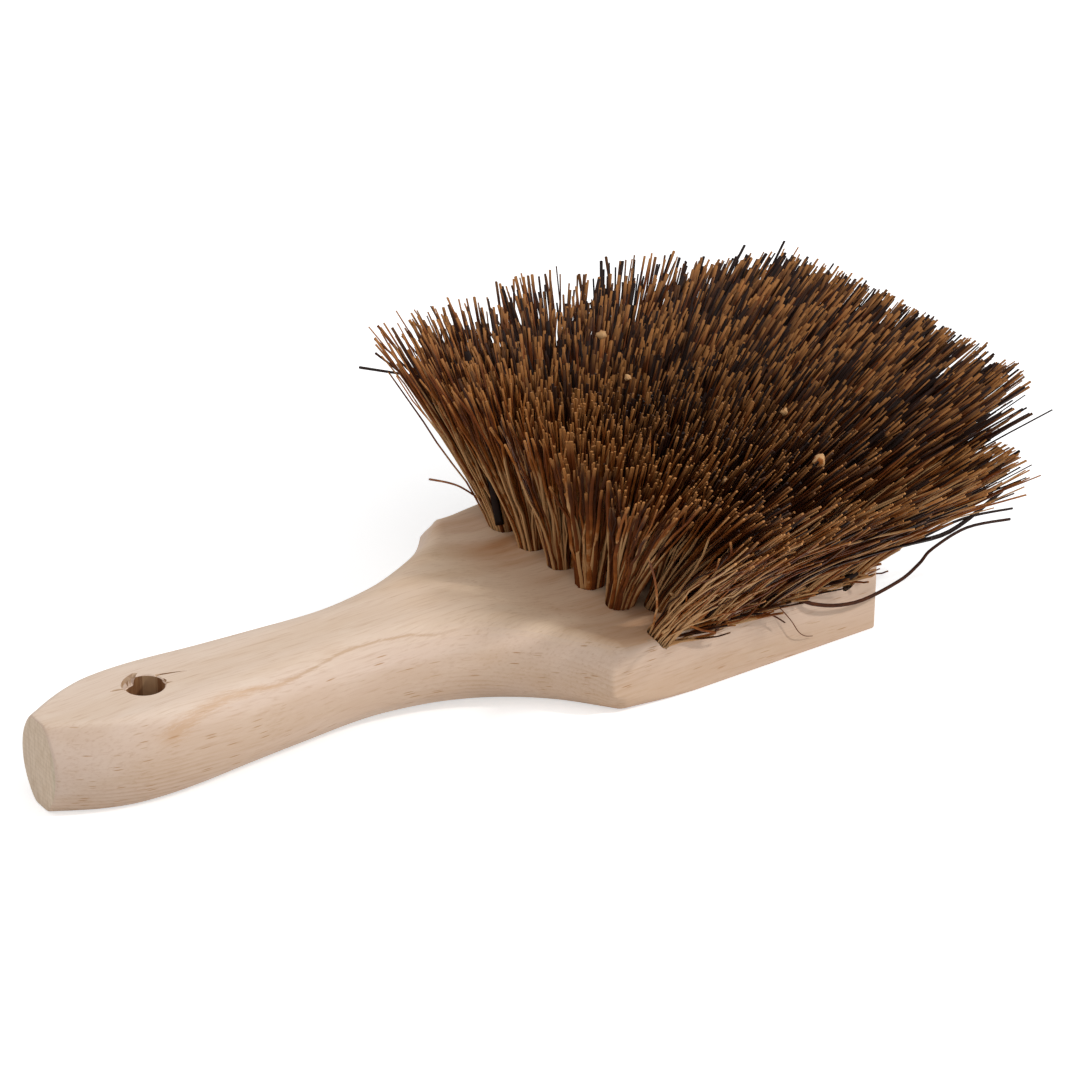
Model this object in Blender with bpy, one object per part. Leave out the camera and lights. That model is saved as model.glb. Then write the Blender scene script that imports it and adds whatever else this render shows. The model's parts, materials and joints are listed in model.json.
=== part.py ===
# Wok brush: a one-piece beech handle and block, drilled on its face for stapled tufts of coarse
# palm fibre, which fan out over the edges and are trimmed level.
# Metres, +Z up. The brush lies on its flat back with the bristles up and the handle towards -X.
# Sizes below are counted from the handle's end along +X, and from the middle line along Y.

import math
import random

import bmesh
import bpy
from mathutils import Matrix, Vector

# Handle and block, cut from one board
WOOD_LENGTH = 0.250
HANDLE_LENGTH = 0.160  # from the handle's end to the shoulders
BOARD_THICKNESS = 0.0273
FACE_THICKNESS = 0.0212  # the drilled block is planed thinner than the grip
BLOCK_WIDTH = 0.0990
END_FLAT_WIDTH = 0.0066  # widths of the flat between the two rounded sides
GRIP_FLAT_WIDTH = 0.0310
NECK_FLAT_WIDTH = 0.0248
SIDE_BULGE = 0.0062  # how far the rounded sides stand out from their edges
SLOPE_LENGTH = 0.040  # where the thickness runs down from the grip to the block
SLOPE_PAST_SHOULDER = 0.008

# Half widths of the flat: shares of the handle's length, then shares of the way between two widths
END_TO_GRIP_SHARES = ((0.0, 0.0), (0.077, 0.55), (0.154, 0.87), (0.28, 1.0))
NECK_TO_GRIP_SHARES = ((0.46, 0.42), (0.60, 0.0))
NECK_TO_BLOCK_SHARES = ((0.69, 0.05), (0.77, 0.15), (0.846, 0.32), (0.923, 0.595), (1.0, 1.0))

# Hanging hole through the handle
HANG_HOLE_DIAMETER = 0.0112
HANG_HOLE_FROM_END = 0.0335

# Drilled tuft holes, in rows that are staggered by half a pitch. The grid sits off the middle line,
# and every second row has one more tuft beside it, which breaks out at the near edge.
MOST_ROWS = 9
MOST_TUFTS_ACROSS = 6
FIRST_ROW_FROM_SHOULDER = 0.014
LAST_ROW_FROM_TIP = 0.0088
FIELD_OFF_MIDDLE = 0.0029
OUTER_TUFT_FROM_SIDE = 0.0101  # on the far side
EDGE_TUFT_FROM_SIDE = 0.0025  # on the near one
TUFT_HOLE_DIAMETER = 0.0082
TUFT_HOLE_DEPTH = 0.0105
WALL_BETWEEN_HOLES = 0.0027  # the least, at the face
HOLE_TILT_SHARE = 0.65  # the holes lean less than the fibres that splay out of them

# Flat wire anchor that holds each folded tuft down in its hole
ANCHOR_BITE = 0.0011  # how far each end goes into the wood beside the hole
ANCHOR_HEIGHT = 0.0022
ANCHOR_THICKNESS = 0.0009

# Fibres: tilts in degrees at the edges of the drilled field and at the block's sides, and the trim
FRONT_TILT = 4.5
TIP_TILT = 51.0
TILT_GROWTH = 1.5
FRONT_SIDE_TILT = 62.0
TIP_SIDE_TILT = 35.5
SIDE_TILT_GROWTH = 1.25
EDGE_TILT = 43.0  # the most that the edge tufts lean outwards
EDGE_SWEEP = 20.0  # how much further the edge tufts lean towards the tip
FRONT_FIBRE_LENGTH = 0.0696
TIP_FIBRE_LENGTH = 0.0800
SIDE_FIBRES_SHORTER = 0.0073
TRIM_HEIGHT = 0.0524
STRANDS_ROUND = 6  # in a ring round one strand in the middle
STRAND_ROOT_DIAMETER = 0.0020
STRAND_TIP_DIAMETER = 0.0013
ROOT_RING_SHARE = 0.54  # the ring's radius as a share of the hole's
TIP_RING_SHARE = 0.84  # and of the room that a tuft has among its neighbours
STRAND_BEND_SHARE = 0.40  # how far up a strand the hole's direction still steers it
RING_JOINT_SHARES = (0.36, 1.0)
MIDDLE_JOINT_SHARES = (1.0,)
STRAND_ROOT_DEPTH = 0.0015
UNEVEN_CUT = 0.0012
CUT_SEED = 11
PLUG_ABOVE_FACE = 0.0004

# Fits and facets
SEAT_GAP = 0.0003
OVERRUN = 0.004  # how far each cutter runs past what it cuts
GRIP_STATION = 0.0075  # spacing of the cross-sections along the handle
FLARE_STATION = 0.0040
FLARE_START_SHARE = 0.66
SIDE_ARC_STEPS = 8
HANG_HOLE_SIDES = 32
TUFT_HOLE_SIDES = 8
STRAND_SIDES = 3
FLAT_ANGLE = 35.0  # sharper edges than this stay crisp

half_block = BLOCK_WIDTH / 2
tuft_hole_radius = TUFT_HOLE_DIAMETER / 2
first_row = HANDLE_LENGTH + FIRST_ROW_FROM_SHOULDER
last_row = WOOD_LENGTH - LAST_ROW_FROM_TIP
edge_tuft = EDGE_TUFT_FROM_SIDE - half_block
field_width = BLOCK_WIDTH - 2 * (OUTER_TUFT_FROM_SIDE + FIELD_OFF_MIDDLE)
hole_spacing = TUFT_HOLE_DIAMETER + WALL_BETWEEN_HOLES
rows = min(MOST_ROWS, 1 + int((last_row - first_row) * math.sqrt(2) / hole_spacing))
row_pitch = (last_row - first_row) / (rows - 1)
least_pitch = max(hole_spacing, 2 * math.sqrt(max(hole_spacing**2 - row_pitch**2, 0)))
tufts_across = min(MOST_TUFTS_ACROSS, 1 + int(field_width / least_pitch))
tuft_pitch = field_width / (tufts_across - 1)
anchor_length = TUFT_HOLE_DIAMETER + 2 * ANCHOR_BITE


def clear_scene():
    for old in list(bpy.data.objects):
        bpy.data.objects.remove(old, do_unlink=True)


def new_collection(name):
    made = bpy.data.collections.new(name)
    bpy.context.scene.collection.children.link(made)
    return made


def new_material(name, colour, roughness):
    made = bpy.data.materials.new(name)
    made.use_nodes = True
    shader = made.node_tree.nodes["Principled BSDF"]
    shader.inputs["Base Color"].default_value = (*colour, 1.0)
    shader.inputs["Roughness"].default_value = roughness
    shader.inputs["Metallic"].default_value = 0.0
    return made


def between(low, high, share):
    return low + (high - low) * share


def smooth_step(share):
    share = min(max(share, 0.0), 1.0)
    return share * share * (3 - 2 * share)


def outline_points():
    """(distance from the end, half width of the flat) along the handle."""
    end, grip, neck = END_FLAT_WIDTH / 2, GRIP_FLAT_WIDTH / 2, NECK_FLAT_WIDTH / 2
    runs = (
        (END_TO_GRIP_SHARES, end, grip),
        (NECK_TO_GRIP_SHARES, neck, grip),
        (NECK_TO_BLOCK_SHARES, neck, half_block),
    )
    return [
        (along * HANDLE_LENGTH, between(low, high, share))
        for shares, low, high in runs
        for along, share in shares
    ]


def slope_at(points, i):
    """The outline's slope at a point, from its neighbours."""
    before, after = points[max(i - 1, 0)], points[min(i + 1, len(points) - 1)]
    return (after[1] - before[1]) / (after[0] - before[0])


def flat_half_width(x, points):
    """Half the width of the flat at x, on a smooth curve through the outline's points."""
    if x >= points[-1][0]:
        past = points[-1][1] + slope_at(points, len(points) - 1) * (x - points[-1][0])
        return min(past, half_block + OVERRUN)
    i = max(k for k in range(len(points) - 1) if points[k][0] <= x)
    (x0, y0), (x1, y1) = points[i], points[i + 1]
    run = x1 - x0
    t = (x - x0) / run
    m0, m1 = slope_at(points, i) * run, slope_at(points, i + 1) * run
    return (
        y0 * (1 - t) ** 2 * (1 + 2 * t)
        + m0 * t * (1 - t) ** 2
        + y1 * t * t * (3 - 2 * t)
        - m1 * t * t * (1 - t)
    )


def wood_thickness(x):
    slope_end = HANDLE_LENGTH + SLOPE_PAST_SHOULDER
    share = smooth_step(1 - (slope_end - x) / SLOPE_LENGTH)
    return between(BOARD_THICKNESS, FACE_THICKNESS, share)


def stations():
    """Where the cross-sections stand, closer together along the flare."""
    flare_start = FLARE_START_SHARE * HANDLE_LENGTH
    slope_end = HANDLE_LENGTH + SLOPE_PAST_SHOULDER
    grip_count = round(flare_start / GRIP_STATION)
    flare_count = round((HANDLE_LENGTH - flare_start) / FLARE_STATION)
    past_count = round(SLOPE_PAST_SHOULDER / FLARE_STATION)
    grip = [between(0.0, flare_start, i / grip_count) for i in range(grip_count)]
    flare = [between(flare_start, HANDLE_LENGTH, i / flare_count) for i in range(flare_count)]
    past = [between(HANDLE_LENGTH, slope_end, i / past_count) for i in range(past_count + 1)]
    return grip + flare + past + [WOOD_LENGTH]


def cross_section(x, half, top):
    """One ring of the loft: up the rounded side at +Y, then down the one at -Y."""
    radius = (top * top / 4 + SIDE_BULGE * SIDE_BULGE) / (2 * SIDE_BULGE)
    reach = math.asin(top / 2 / radius)
    centre = half + SIDE_BULGE - radius
    ring = []
    for side in (1, -1):
        for step in range(SIDE_ARC_STEPS + 1):
            angle = side * between(-reach, reach, step / SIDE_ARC_STEPS)
            y = side * (centre + radius * math.cos(angle))
            ring.append(Vector((x, y, top / 2 + radius * math.sin(angle))))
    return ring


def make_wood_mesh():
    """The handle and block before they are cut: a loft whose sides run past the block's width."""
    points = outline_points()
    shape = bmesh.new()
    rings = []
    for x in stations():
        ring = cross_section(x, flat_half_width(x, points), wood_thickness(x))
        rings.append([shape.verts.new(point) for point in ring])
    for before, after in zip(rings, rings[1:]):
        for i in range(len(before)):
            k = (i + 1) % len(before)
            shape.faces.new((before[i], before[k], after[k], after[i]))
    shape.faces.new(rings[0])
    shape.faces.new(rings[-1])
    return finished_mesh(shape, "handle_block")


def finished_mesh(shape, name):
    bmesh.ops.recalc_face_normals(shape, faces=shape.faces)
    mesh = bpy.data.meshes.new(name)
    shape.to_mesh(mesh)
    shape.free()
    mesh.shade_smooth()
    mesh.set_sharp_from_angle(angle=math.radians(FLAT_ANGLE))
    return mesh


def box_mesh(name, low, high):
    shape = bmesh.new()
    size = high - low
    place = Matrix.Translation((low + high) / 2) @ Matrix.Diagonal((*size, 1.0))
    bmesh.ops.create_cube(shape, size=1.0, matrix=place)
    return finished_mesh(shape, name)


def cylinder_mesh(name, radius, low, high, sides):
    shape = bmesh.new()
    bmesh.ops.create_cone(
        shape,
        cap_ends=True,
        segments=sides,
        radius1=radius,
        radius2=radius,
        depth=high - low,
        matrix=Matrix.Translation((0, 0, (low + high) / 2)),
    )
    return finished_mesh(shape, name)


def place_part(name, mesh, material, matrix, parts, brush):
    part = bpy.data.objects.new(name, mesh)
    part.data.materials.append(material)
    parts.objects.link(part)
    part.parent = brush
    part.matrix_local = matrix
    return part


def place_cutter(name, mesh, matrix, cutters, brush):
    cutter = bpy.data.objects.new(name, mesh)
    cutters.objects.link(cutter)
    cutter.parent = brush
    cutter.matrix_local = matrix
    cutter.hide_render = True
    cutter.display_type = "WIRE"
    return cutter


def fibre_tilt(x, y):
    """How far the fibres lean at a place on the face: towards the tip, and outwards, in degrees."""
    left = max(1 - (x - first_row) / (last_row - first_row), 0)
    along = between(-FRONT_TILT, TIP_TILT, 1 - left**TILT_GROWTH)
    most = between(TIP_SIDE_TILT, FRONT_SIDE_TILT, left)
    outwards = math.copysign(most * abs(y / half_block) ** SIDE_TILT_GROWTH, y)
    if y < edge_tuft + tuft_pitch / 2:
        along += EDGE_SWEEP * left
        outwards = max(outwards, -EDGE_TILT)
    return along, outwards


def lean(x, y, share):
    """The direction of a hole or of its fibres, as a unit vector."""
    along, outwards = fibre_tilt(x, y)
    slant = Vector((math.tan(math.radians(along * share)), math.tan(math.radians(outwards * share)), 1))
    return slant.normalized()


def trimmed_tip(x, y):
    """Where a fibre that starts at this place on the face ends, after the trim."""
    root = Vector((x, y, FACE_THICKNESS))
    share = (x - first_row) / (last_row - first_row)
    length = between(FRONT_FIBRE_LENGTH, TIP_FIBRE_LENGTH, share)
    length -= SIDE_FIBRES_SHORTER * (y / half_block) ** 2
    tip = root + lean(x, y, 1) * length
    return root + (tip - root) * min(1, TRIM_HEIGHT / (tip.z - root.z))


def tuft_places():
    """Name and place of each tuft: each narrow row has an edge tuft, and wide rows stand between."""
    places = []
    for row in range(rows):
        wide = row % 2 == 1
        count = tufts_across if wide else tufts_across - 1
        x = first_row + row * row_pitch
        across = [FIELD_OFF_MIDDLE + (i - (count - 1) / 2) * tuft_pitch for i in range(count)]
        if not wide:
            across.insert(0, edge_tuft)
        for i, y in enumerate(across):
            places.append((f"tuft_{chr(ord('a') + row)}{i + 1}", x, y))
    return places


def hole_matrix(x, y):
    """A frame at the hole's mouth: Z up the hole, X along the handle, square to it."""
    up = lean(x, y, HOLE_TILT_SHARE)
    across = up.cross(Vector((1, 0, 0))).normalized()
    along = across.cross(up)
    turned = Matrix((along, across, up)).transposed().to_4x4()
    return Matrix.Translation((x, y, FACE_THICKNESS)) @ turned


def add_strand(shape, root, tip, joint_shares):
    """A tapering strand that starts up the hole, along Z, and curves over to its tip."""
    up = Vector((0, 0, 1))
    knee = root + up * (tip.length * STRAND_BEND_SHARE)
    path = [(0.0, root - up * STRAND_ROOT_DEPTH, up)]
    for share in joint_shares:
        point = root * (1 - share) ** 2 + knee * (2 * share * (1 - share)) + tip * share**2
        path.append((share, point, (knee - root) * (1 - share) + (tip - knee) * share))
    rings = []
    for share, point, heading in path:
        side = heading.cross(Vector((1, 0, 0))).normalized()
        other = heading.cross(side).normalized()
        radius = between(STRAND_ROOT_DIAMETER, STRAND_TIP_DIAMETER, share) / 2
        ring = []
        for k in range(STRAND_SIDES):
            angle = 2 * math.pi * k / STRAND_SIDES
            offset = (side * math.cos(angle) + other * math.sin(angle)) * radius
            ring.append(shape.verts.new(point + offset))
        rings.append(ring)
    for before, after in zip(rings, rings[1:]):
        for i in range(STRAND_SIDES):
            k = (i + 1) % STRAND_SIDES
            shape.faces.new((before[i], before[k], after[k], after[i]))
    shape.faces.new(rings[0])
    shape.faces.new(rings[-1])


def tuft_room():
    """Half the least distance between two tufts on the face."""
    beside = math.hypot(row_pitch, tuft_pitch / 2)
    return min(beside, tuft_pitch, 2 * row_pitch) / 2


def make_fittings_mesh(x, y, matrix, draw):
    """What is joined to a tuft's plug: its strands, and the wire anchor that crosses it."""
    shape = bmesh.new()
    to_hole = matrix.inverted()
    ring_radius = ROOT_RING_SHARE * tuft_hole_radius
    tip_radius = TIP_RING_SHARE * tuft_room()
    turn = draw.random()
    offsets = [Vector()]
    for k in range(STRANDS_ROUND):
        angle = 2 * math.pi * (k + turn) / STRANDS_ROUND
        offsets.append(Vector((math.cos(angle), math.sin(angle), 0)))
    for offset in offsets:
        root = offset * ring_radius + Vector((0, 0, PLUG_ABOVE_FACE))
        tip = to_hole @ trimmed_tip(x + offset.x * tip_radius, y + offset.y * tip_radius)
        tip += tip.normalized() * draw.uniform(-UNEVEN_CUT, 0)
        joint_shares = RING_JOINT_SHARES if offset.length else MIDDLE_JOINT_SHARES
        add_strand(shape, root, tip, joint_shares)
    middle = Matrix.Translation((0, 0, ANCHOR_HEIGHT / 2 + SEAT_GAP - TUFT_HOLE_DEPTH))
    size = Matrix.Diagonal((anchor_length, ANCHOR_THICKNESS, ANCHOR_HEIGHT, 1.0))
    bmesh.ops.create_cube(shape, size=1.0, matrix=middle @ size)
    return finished_mesh(shape, "fittings")


def joined_mesh(name, base, added):
    """One closed mesh of both, from a Boolean union."""
    main = bpy.data.objects.new(name, base)
    other = bpy.data.objects.new(name + "_added", added)
    for each in (main, other):
        bpy.context.scene.collection.objects.link(each)
    union = main.modifiers.new("join", "BOOLEAN")
    union.operation = "UNION"
    union.solver = "EXACT"
    union.object = other
    bpy.context.view_layer.update()
    graph = bpy.context.evaluated_depsgraph_get()
    mesh = bpy.data.meshes.new_from_object(main.evaluated_get(graph))
    for each in (main, other):
        bpy.data.objects.remove(each, do_unlink=True)
    mesh.name = name
    return mesh


def make_tuft(name, x, y, draw):
    """A plug of folded fibre that fills its hole, with its strands and its anchor."""
    matrix = hole_matrix(x, y)
    radius = tuft_hole_radius - SEAT_GAP / math.cos(math.pi / TUFT_HOLE_SIDES)
    plug = cylinder_mesh(name, radius, SEAT_GAP - TUFT_HOLE_DEPTH, PLUG_ABOVE_FACE, TUFT_HOLE_SIDES)
    return joined_mesh(name, plug, make_fittings_mesh(x, y, matrix, draw)), matrix


def add_tuft_cutters(name, x, y, cutters, brush):
    """The drilled hole, and the slot that the anchor bites into the wood beside it."""
    matrix = hole_matrix(x, y)
    top = tuft_hole_radius + OVERRUN
    drill = cylinder_mesh(name, tuft_hole_radius, -TUFT_HOLE_DEPTH, top, TUFT_HOLE_SIDES)
    place_cutter(name + "_drill", drill, matrix, cutters, brush)
    half = Vector((anchor_length / 2 + SEAT_GAP, ANCHOR_THICKNESS / 2 + SEAT_GAP, 0))
    low = Vector((-half.x, -half.y, -TUFT_HOLE_DEPTH))
    high = Vector((half.x, half.y, low.z + ANCHOR_HEIGHT + 2 * SEAT_GAP))
    place_cutter(name + "_slot", box_mesh(name, low, high), matrix, cutters, brush)


def add_wood_cutters(cutters, brush):
    """The hanging hole, and the two saw cuts that leave the block square-sided."""
    hole = cylinder_mesh(
        "hang_hole", HANG_HOLE_DIAMETER / 2, -OVERRUN, BOARD_THICKNESS + OVERRUN, HANG_HOLE_SIDES
    )
    place_cutter("hang_hole_cutter", hole, Matrix.Translation((HANG_HOLE_FROM_END, 0, 0)), cutters, brush)
    inner = Vector((HANDLE_LENGTH - half_block, half_block, -OVERRUN))
    outer_y = half_block + SIDE_BULGE + 2 * OVERRUN
    outer = Vector((WOOD_LENGTH + OVERRUN, outer_y, BOARD_THICKNESS + OVERRUN))
    for side, name in ((1, "saw_cut_far"), (-1, "saw_cut_near")):
        low = Vector((inner.x, min(side * inner.y, side * outer.y), inner.z))
        high = Vector((outer.x, max(side * inner.y, side * outer.y), outer.z))
        place_cutter(name, box_mesh(name, low, high), Matrix(), cutters, brush)


def stand_on_origin(brush, solids):
    """Moves the brush so that the origin is under its middle, at the level of its back."""
    bpy.context.view_layer.update()
    graph = bpy.context.evaluated_depsgraph_get()
    corners = []
    for solid in solids:
        shown = solid.evaluated_get(graph)
        corners += [solid.matrix_world @ vertex.co for vertex in shown.to_mesh().vertices]
        shown.to_mesh_clear()
    low = [min(corner[i] for corner in corners) for i in range(3)]
    high = [max(corner[i] for corner in corners) for i in range(3)]
    brush.location = (-(low[0] + high[0]) / 2, -(low[1] + high[1]) / 2, -low[2])


def main():
    clear_scene()
    parts, cutters = new_collection("wok_brush"), new_collection("cutters")
    brush = bpy.data.objects.new("wok_brush_frame", None)
    parts.objects.link(brush)
    beech = new_material("beech", (0.73, 0.58, 0.46), 0.62)
    fibre = new_material("palm_fibre", (0.12, 0.055, 0.02), 0.55)

    wood = place_part("handle_block", make_wood_mesh(), beech, Matrix(), parts, brush)
    add_wood_cutters(cutters, brush)
    draw = random.Random(CUT_SEED)
    for name, x, y in tuft_places():
        mesh, matrix = make_tuft(name, x, y, draw)
        place_part(name, mesh, fibre, matrix, parts, brush)
        add_tuft_cutters(name, x, y, cutters, brush)
    cuts = wood.modifiers.new("cuts", "BOOLEAN")
    cuts.operation = "DIFFERENCE"
    cuts.solver = "EXACT"
    cuts.operand_type = "COLLECTION"
    cuts.collection = cutters
    solids = [part for part in parts.objects if part.type == "MESH"]
    stand_on_origin(brush, solids)
    bpy.context.view_layer.update()


main()
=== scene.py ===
import json
import math
import random

import bmesh
import bpy
from mathutils import Euler, Matrix, Vector

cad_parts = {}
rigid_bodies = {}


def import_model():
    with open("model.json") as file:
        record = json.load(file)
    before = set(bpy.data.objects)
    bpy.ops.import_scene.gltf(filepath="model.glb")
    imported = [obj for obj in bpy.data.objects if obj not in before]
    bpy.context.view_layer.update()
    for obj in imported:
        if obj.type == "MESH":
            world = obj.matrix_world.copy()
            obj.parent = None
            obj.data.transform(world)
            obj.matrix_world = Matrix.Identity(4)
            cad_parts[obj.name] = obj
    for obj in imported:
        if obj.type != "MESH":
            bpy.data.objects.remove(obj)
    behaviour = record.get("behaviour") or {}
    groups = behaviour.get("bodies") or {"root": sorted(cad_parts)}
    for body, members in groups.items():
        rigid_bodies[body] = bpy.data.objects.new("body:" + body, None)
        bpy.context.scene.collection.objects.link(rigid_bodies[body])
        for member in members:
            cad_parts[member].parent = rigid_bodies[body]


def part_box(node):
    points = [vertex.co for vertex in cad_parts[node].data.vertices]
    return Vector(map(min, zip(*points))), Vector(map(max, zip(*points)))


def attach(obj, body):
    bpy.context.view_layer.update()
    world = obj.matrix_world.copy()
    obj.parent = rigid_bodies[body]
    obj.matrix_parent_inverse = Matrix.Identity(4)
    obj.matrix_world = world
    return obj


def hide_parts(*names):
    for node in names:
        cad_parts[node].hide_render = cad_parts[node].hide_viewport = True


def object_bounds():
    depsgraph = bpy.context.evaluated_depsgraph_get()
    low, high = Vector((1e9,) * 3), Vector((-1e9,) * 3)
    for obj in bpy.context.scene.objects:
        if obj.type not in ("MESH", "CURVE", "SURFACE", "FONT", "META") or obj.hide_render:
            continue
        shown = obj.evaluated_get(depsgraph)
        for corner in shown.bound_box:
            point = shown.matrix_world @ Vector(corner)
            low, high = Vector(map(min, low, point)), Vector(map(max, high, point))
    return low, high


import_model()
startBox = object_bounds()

# A wok brush on its back: bare beech, coarse palm fibre, plain studio light
# Everything is counted from the handle's end along X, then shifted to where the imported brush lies
woodLow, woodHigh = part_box("handle_block")
brushStart = Vector((woodLow.x, (woodLow.y + woodHigh.y) / 2, woodLow.z))
woodLength = woodHigh.x - woodLow.x
boardTop = woodHigh.z - woodLow.z
halfBlock = (woodHigh.y - woodLow.y) / 2


def mix(low, high, share):
    return low + (high - low) * share


def ease(share):
    share = min(max(share, 0.0), 1.0)
    return share * share * (3 - 2 * share)


def softMin(a, b, blend):
    gap = abs(a - b)
    return min(a, b) - (max(blend - gap, 0.0) ** 2) / (4 * blend)


def fromHex(text):  # a screen colour such as "decab7", as the shader wants it
    parts = [int(text[i:i + 2], 16) / 255 for i in (0, 2, 4)]
    return tuple(c / 12.92 if c <= 0.04045 else ((c + 0.055) / 1.055) ** 2.4 for c in parts) + (1.0,)


# Node helpers, the same for shaders and for geometry
def addNode(tree, kind, **settings):
    node = tree.nodes.new(kind)
    for name, value in settings.items():
        setattr(node, name, value)
    return node


def plug(tree, value, socket):
    if isinstance(value, bpy.types.NodeSocket):
        tree.links.new(value, socket)
    else:
        socket.default_value = value


def feed(tree, node, given):
    for name, value in given.items():
        plug(tree, value, node.inputs[name])
    return node


def fedNode(tree, kind, given, **settings):
    return feed(tree, addNode(tree, kind, **settings), given)


def firstOf(tree, kind, given, **settings):
    return fedNode(tree, kind, given, **settings).outputs[0]


def maths(tree, operation, *values):
    node = addNode(tree, "ShaderNodeMath", operation=operation)
    for value, socket in zip(values, node.inputs):
        plug(tree, value, socket)
    return node.outputs[0]


def times(tree, first, *others):
    for other in others:
        first = maths(tree, "MULTIPLY", first, other)
    return first


def oneMinus(tree, value):
    return maths(tree, "SUBTRACT", 1.0, value)


def vectors(tree, operation, *values):
    node = addNode(tree, "ShaderNodeVectorMath", operation=operation)
    sockets = [node.inputs[0], node.inputs["Scale"]] if operation == "SCALE" else node.inputs
    for value, socket in zip(values, sockets):
        plug(tree, value, socket)
    return node.outputs["Value"] if operation == "LENGTH" else node.outputs["Vector"]


def scaled(tree, vector, factor):
    return vectors(tree, "SCALE", vector, factor)


def split(tree, vector):
    node = addNode(tree, "ShaderNodeSeparateXYZ")
    tree.links.new(vector, node.inputs[0])
    return list(node.outputs)


def combine(tree, *values):
    node = addNode(tree, "ShaderNodeCombineXYZ")
    for value, socket in zip(values, node.inputs):
        plug(tree, value, socket)
    return node.outputs[0]


def mapRange(tree, value, fromLow, fromHigh, toLow=0.0, toHigh=1.0):
    given = {"Value": value, "From Min": fromLow, "From Max": fromHigh, "To Min": toLow, "To Max": toHigh}
    return firstOf(tree, "ShaderNodeMapRange", given, interpolation_type="SMOOTHSTEP")


def noiseNode(tree, vector, scale, detail, roughness):
    given = {"Vector": vector, "Scale": scale, "Detail": detail, "Roughness": roughness}
    return fedNode(tree, "ShaderNodeTexNoise", given)


def noise(tree, vector, scale, detail=3.0, roughness=0.55):
    return noiseNode(tree, vector, scale, detail, roughness).outputs[0]


def stretchedNoise(tree, vector, stretch, detail=3.0, roughness=0.55):
    return noise(tree, vectors(tree, "MULTIPLY", vector, stretch), 1.0, detail, roughness)


def wander(tree, vector, scale):  # a soft drift to every side, half a unit at most
    drift = noiseNode(tree, vector, scale, 1.0, 0.5).outputs["Color"]
    return vectors(tree, "SUBTRACT", drift, (0.5, 0.5, 0.5))


def blendColour(tree, share, under, over, kind="MIX"):
    node = addNode(tree, "ShaderNodeMix", data_type="RGBA", blend_type=kind)
    plug(tree, share, node.inputs[0])
    for colour, socket in ((under, node.inputs[6]), (over, node.inputs[7])):
        plug(tree, fromHex(colour) if isinstance(colour, str) else colour, socket)
    return node.outputs[2]


def ramp(tree, value, stops):
    node = addNode(tree, "ShaderNodeValToRGB")
    points = node.color_ramp.elements
    while len(points) < len(stops):
        points.new(1.0)
    for point, (place, colour) in zip(points, stops):
        point.position = place
        point.color = fromHex(colour)
    plug(tree, value, node.inputs[0])
    return node.outputs[0]


def curveOf(tree, value, points, floor, ceiling):  # a smooth curve through points
    low, high = points[0][0], points[-1][0]
    node = addNode(tree, "ShaderNodeFloatCurve")
    line = node.mapping.curves[0]
    while len(line.points) < len(points):
        line.points.new(0.5, 0.5)
    for point, (px, py) in zip(line.points, points):
        point.location = ((px - low) / (high - low), (py - floor) / (ceiling - floor))
    node.mapping.update()
    span = maths(tree, "DIVIDE", maths(tree, "SUBTRACT", value, low), high - low)
    tree.links.new(span, node.inputs["Value"])
    return maths(tree, "MULTIPLY_ADD", node.outputs[0], ceiling - floor, floor)


def newMaterial(name, roughness):
    made = bpy.data.materials.new(name)
    made.use_nodes = True
    tree = made.node_tree
    return made, tree, feed(tree, tree.nodes["Principled BSDF"], {"Roughness": roughness})


def objectPlace(tree):
    return addNode(tree, "ShaderNodeTexCoord").outputs["Object"]


def trueNormal(tree):
    return split(tree, addNode(tree, "ShaderNodeNewGeometry").outputs["True Normal"])


def attributeOf(tree, name):
    return addNode(tree, "ShaderNodeAttribute", attribute_name=name).outputs["Fac"]


# Beech: pale and warm, growth layers that lie nearly flat, short ray flecks, a few orange streaks
beech = {
    "pale": "e3ccb9",
    "tan": "d8bda3",
    "layer": "b98f66",
    "light": "f3e4d3",
    "fleck": "b28350",
    "orange": "c8965e",
    "gold": "ac7c42",
    "warm": "fbf0dc",
    # painted shade: faces other than the top come out a little darker
    "sideShade": "f4f0ef",
    # golden brown in front of the tufts: partly a real stain, partly painted shade and bounce light from the
    # fibres
    "stainAndShade": "d09a5c",
    "endGrain": "e0c9b1",
    "endTan": "cfb599",
    "endRing": "a58c6c",
    "endGreen": "93a487",
    "roughness": 0.62,
    "wander": 0.007,  # how far the grain strays from straight
    "ringPitch": 0.0015,
    "ringLow": 0.130,  # how far under the back the rings have their middle
    "layerStretch": (7.0, 55.0, 70.0),
    "patchStretch": (26.0, 26.0, 60.0),
    "poreStretch": (75.0, 1500.0, 1500.0),
    "mottleStretch": (60.0, 160.0, 160.0),
    "sawStretch": (300.0, 900.0, 240.0),
    "flatFleck": (0.0120, 0.0007, 0.0007),
    "sideFleck": (0.0085, 0.0045, 0.0007),
    "warmRun": (0.095, 0.150),  # from where to where along X the wood turns warmer
    # where along X the stain and painted shade in front of the tufts comes in
    "stainAndShadeRun": (0.142, 0.170),
    "goldRun": (0.060, 0.080),
    "bump": 0.00007,
}
# Where the growth lines show most, by X
ringPlaces = ((0.0, 0.9), (0.028, 0.85), (0.055, 0.25), (0.105, 0.2), (0.130, 0.7), (0.156, 0.7),
              (0.170, 0.12), (0.250, 0.15))
# Where the coloured streak runs along the handle's near shoulder: X, Y and half width
streakWay = ((0.024, -0.0200, 0.0010), (0.034, -0.0185, 0.0022), (0.045, -0.0165, 0.0021),
             (0.055, -0.0152, 0.0016), (0.066, -0.0156, 0.0010), (0.080, -0.0138, 0.0006),
             (0.093, -0.0120, 0.0007), (0.106, -0.0132, 0.0006), (0.118, -0.0171, 0.0005),
             (0.136, -0.0210, 0.0005))


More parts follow.
